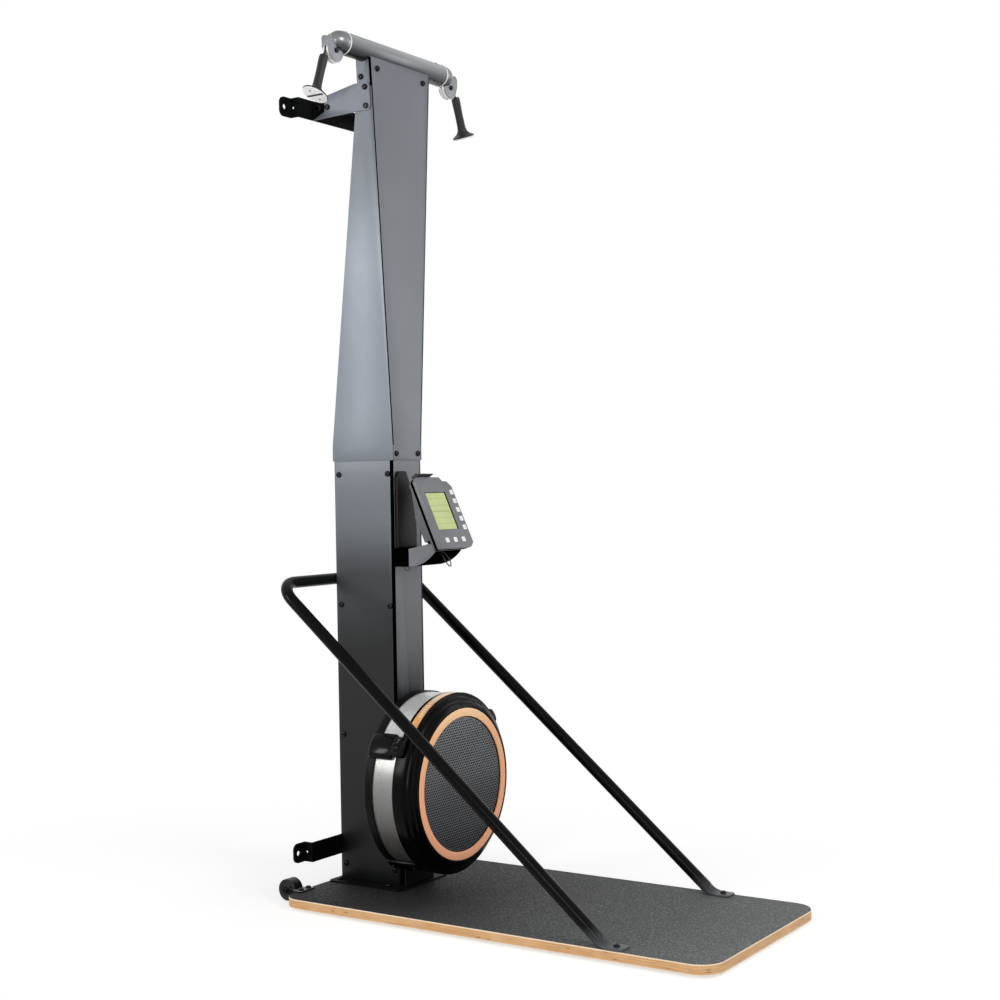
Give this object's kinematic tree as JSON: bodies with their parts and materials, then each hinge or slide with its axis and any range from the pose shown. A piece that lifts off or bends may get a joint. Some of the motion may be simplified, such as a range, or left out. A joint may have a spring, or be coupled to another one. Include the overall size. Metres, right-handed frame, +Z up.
{
  "type": "ski trainer machine",
  "caption": "Standing ski trainer: a tower with an air fan brake, cord handles on end pulleys, a tilting monitor, a hand rail and a plywood deck with transport wheels.",
  "frame": {"origin": "on the floor, in the middle of the footprint from the deck's front edge to the wheels' back", "axes": "+Z up, -Y towards the user's end of the deck, +Y towards the wall, +X to the user's right when facing the tower"},
  "size_m": [0.7064, 1.267, 2.198],
  "materials": {
    "deck": "birch plywood, sealed edge",
    "mat": "pebbled rubber mat",
    "foot_rubber": "matt",
    "base_black": "satin black powder coat",
    "tower_paint": "satin graphite powder coat with fine texture",
    "cheek_paint": "satin grey paint",
    "fastener": "black oxide",
    "ring_white": "gloss",
    "hood_plastic": "satin moulded",
    "inner_steel": "bare sheet steel",
    "cord": "braided polyester",
    "bearing_steel": "ground steel",
    "housing_black": "moulded, semi-gloss",
    "mesh_steel": "fine expanded steel mesh",
    "grille_black": "perforated sheet, satin black",
    "copper": "satin copper coloured paint",
    "clip_black": "high gloss",
    "wire_black": "flexible lead",
    "cover_black": "satin moulded",
    "grip_rubber": "soft grip",
    "stop_silver": "silver grey moulded",
    "pulley_white": "nylon",
    "drum_metal": "turned",
    "impeller_metal": "satin",
    "monitor_grey": "fine textured",
    "lcd": "gloss window over a green display",
    "key_white": "silicone keys",
    "wheel_rubber": "moulded"
  },
  "bodies": {
    "frame": {"deck": "deck", "deck_mat": "mat", "deck_feet": "foot_rubber", "base_plate": "base_black", "lower_channel": "tower_paint", "lower_front_panel": "tower_paint", "upper_channel": "tower_paint", "upper_front_panel": "tower_paint", "socket_screws": "fastener", "cross_tube": "tower_paint", "tube_rings": "ring_white", "end_hoods": "hood_plastic", "pulley_cheeks": "cheek_paint", "pulley_axles": "fastener", "inner_bracket": "inner_steel", "pull_cords": "cord", "left_cord_lead": "cord", "right_cord_lead": "cord", "bearing_blocks": "inner_steel", "axle_bearings": "bearing_steel", "fan_rear_housing": "housing_black", "fan_mesh_band": "mesh_steel", "fan_front_housing": "housing_black", "fan_grille": "grille_black", "copper_ring": "copper", "bridge_clips": "clip_black", "speed_sensor": "wire_black", "hand_rail": "base_black", "upper_gussets": "tower_paint", "wall_bars": "base_black", "wheel_forks": "base_black", "tower_cover": "cover_black", "monitor_arm": "cover_black"},
    "left_handle": {"left_grip": "grip_rubber", "left_stop_plate": "stop_silver"},
    "right_handle": {"right_grip": "grip_rubber", "right_stop_plate": "stop_silver"},
    "left_pulley_wheel": {"left_pulley": "pulley_white"},
    "right_pulley_wheel": {"right_pulley": "pulley_white"},
    "left_inner_wheel": {"left_inner_pulley": "pulley_white"},
    "right_inner_wheel": {"right_inner_pulley": "pulley_white"},
    "left_drum_body": {"left_drum": "drum_metal"},
    "right_drum_body": {"right_drum": "drum_metal"},
    "fan": {"impeller": "impeller_metal", "fan_axle": "bearing_steel"},
    "damper": {"damper_lever": "clip_black"},
    "monitor": {"monitor_face": "monitor_grey", "monitor_back": "monitor_grey", "lcd_window": "lcd"},
    "left_wheel_body": {"left_wheel": "wheel_rubber"},
    "right_wheel_body": {"right_wheel": "wheel_rubber"},
    "key_side_1_cap": {"key_side_1": "key_white"},
    "key_side_2_cap": {"key_side_2": "key_white"},
    "key_side_3_cap": {"key_side_3": "key_white"},
    "key_side_4_cap": {"key_side_4": "key_white"},
    "key_side_5_cap": {"key_side_5": "key_white"},
    "key_menu_1_cap": {"key_menu_1": "key_white"},
    "key_menu_2_cap": {"key_menu_2": "key_white"},
    "key_menu_3_cap": {"key_menu_3": "key_white"}
  },
  "joints": [
    {"name": "left_pull", "type": "slide", "parent": "frame", "child": "left_handle", "axis": [0, -0.2588, -0.9659], "range_m": [0, 1.45], "stiffness_N_per_m": 12, "springref_m": -2, "deforming": ["left_cord_lead"]},
    {"name": "right_pull", "type": "slide", "parent": "frame", "child": "right_handle", "axis": [0, -0.2588, -0.9659], "range_m": [0, 1.45], "stiffness_N_per_m": 12, "springref_m": -2, "deforming": ["right_cord_lead"]},
    {"name": "left_pulley_turn", "type": "hinge", "parent": "frame", "child": "left_pulley_wheel", "pos_m": [-0.245, 0.386, 2.14], "axis": [0, 1, 0], "range_deg": [-3100, 0]},
    {"name": "right_pulley_turn", "type": "hinge", "parent": "frame", "child": "right_pulley_wheel", "pos_m": [0.245, 0.386, 2.14], "axis": [0, 1, 0], "range_deg": [0, 3100]},
    {"name": "left_inner_turn", "type": "hinge", "parent": "frame", "child": "left_inner_wheel", "pos_m": [-0.049, 0.386, 2.125], "axis": [0, 1, 0], "range_deg": [-3100, 0]},
    {"name": "right_inner_turn", "type": "hinge", "parent": "frame", "child": "right_inner_wheel", "pos_m": [0.049, 0.386, 2.125], "axis": [0, 1, 0], "range_deg": [0, 3100]},
    {"name": "left_drum_turn", "type": "hinge", "parent": "frame", "child": "left_drum_body", "pos_m": [0, 0.404, 0.303], "axis": [0, 1, 0], "range_deg": [0, 2800]},
    {"name": "right_drum_turn", "type": "hinge", "parent": "frame", "child": "right_drum_body", "pos_m": [0, 0.438, 0.303], "axis": [0, 1, 0], "range_deg": [0, 2800]},
    {"name": "fan_spin", "type": "hinge", "parent": "frame", "child": "fan", "pos_m": [0, 0.366, 0.303], "axis": [0, 1, 0], "continuous": true},
    {"name": "damper_turn", "type": "hinge", "parent": "frame", "child": "damper", "pos_m": [0, 0.366, 0.303], "axis": [0, 1, 0], "range_deg": [0, 60]},
    {"name": "monitor_tilt", "type": "hinge", "parent": "frame", "child": "monitor", "pos_m": [0, 0.24962, 0.90594], "axis": [1, 0, 0], "range_deg": [-12, 12]},
    {"name": "key_side_1_press", "type": "slide", "parent": "monitor", "child": "key_side_1_cap", "axis": [0, 0.9135, -0.4067], "range_m": [0, 0.0015], "stiffness_N_per_m": 400, "springref_m": -0.001},
    {"name": "key_side_2_press", "type": "slide", "parent": "monitor", "child": "key_side_2_cap", "axis": [0, 0.9135, -0.4067], "range_m": [0, 0.0015], "stiffness_N_per_m": 400, "springref_m": -0.001},
    {"name": "key_side_3_press", "type": "slide", "parent": "monitor", "child": "key_side_3_cap", "axis": [0, 0.9135, -0.4067], "range_m": [0, 0.0015], "stiffness_N_per_m": 400, "springref_m": -0.001},
    {"name": "key_side_4_press", "type": "slide", "parent": "monitor", "child": "key_side_4_cap", "axis": [0, 0.9135, -0.4067], "range_m": [0, 0.0015], "stiffness_N_per_m": 400, "springref_m": -0.001},
    {"name": "key_side_5_press", "type": "slide", "parent": "monitor", "child": "key_side_5_cap", "axis": [0, 0.9135, -0.4067], "range_m": [0, 0.0015], "stiffness_N_per_m": 400, "springref_m": -0.001},
    {"name": "key_menu_1_press", "type": "slide", "parent": "monitor", "child": "key_menu_1_cap", "axis": [0, 0.9135, -0.4067], "range_m": [0, 0.0015], "stiffness_N_per_m": 400, "springref_m": -0.001},
    {"name": "key_menu_2_press", "type": "slide", "parent": "monitor", "child": "key_menu_2_cap", "axis": [0, 0.9135, -0.4067], "range_m": [0, 0.0015], "stiffness_N_per_m": 400, "springref_m": -0.001},
    {"name": "key_menu_3_press", "type": "slide", "parent": "monitor", "child": "key_menu_3_cap", "axis": [0, 0.9135, -0.4067], "range_m": [0, 0.0015], "stiffness_N_per_m": 400, "springref_m": -0.001},
    {"name": "left_wheel_spin", "type": "hinge", "parent": "frame", "child": "left_wheel_body", "pos_m": [-0.208, 0.606, 0.031], "axis": [1, 0, 0], "continuous": true},
    {"name": "right_wheel_spin", "type": "hinge", "parent": "frame", "child": "right_wheel_body", "pos_m": [0.208, 0.606, 0.031], "axis": [1, 0, 0], "continuous": true}
  ],
  "couplings": [
    {"joint": "left_pulley_turn", "follows": "left_pull", "rad_per_m": -37.037},
    {"joint": "left_inner_turn", "follows": "left_pull", "rad_per_m": -37.037},
    {"joint": "left_drum_turn", "follows": "left_pull", "rad_per_m": 33.333},
    {"joint": "right_pulley_turn", "follows": "right_pull", "rad_per_m": 37.037},
    {"joint": "right_inner_turn", "follows": "right_pull", "rad_per_m": 37.037},
    {"joint": "right_drum_turn", "follows": "right_pull", "rad_per_m": 33.333}
  ]
}
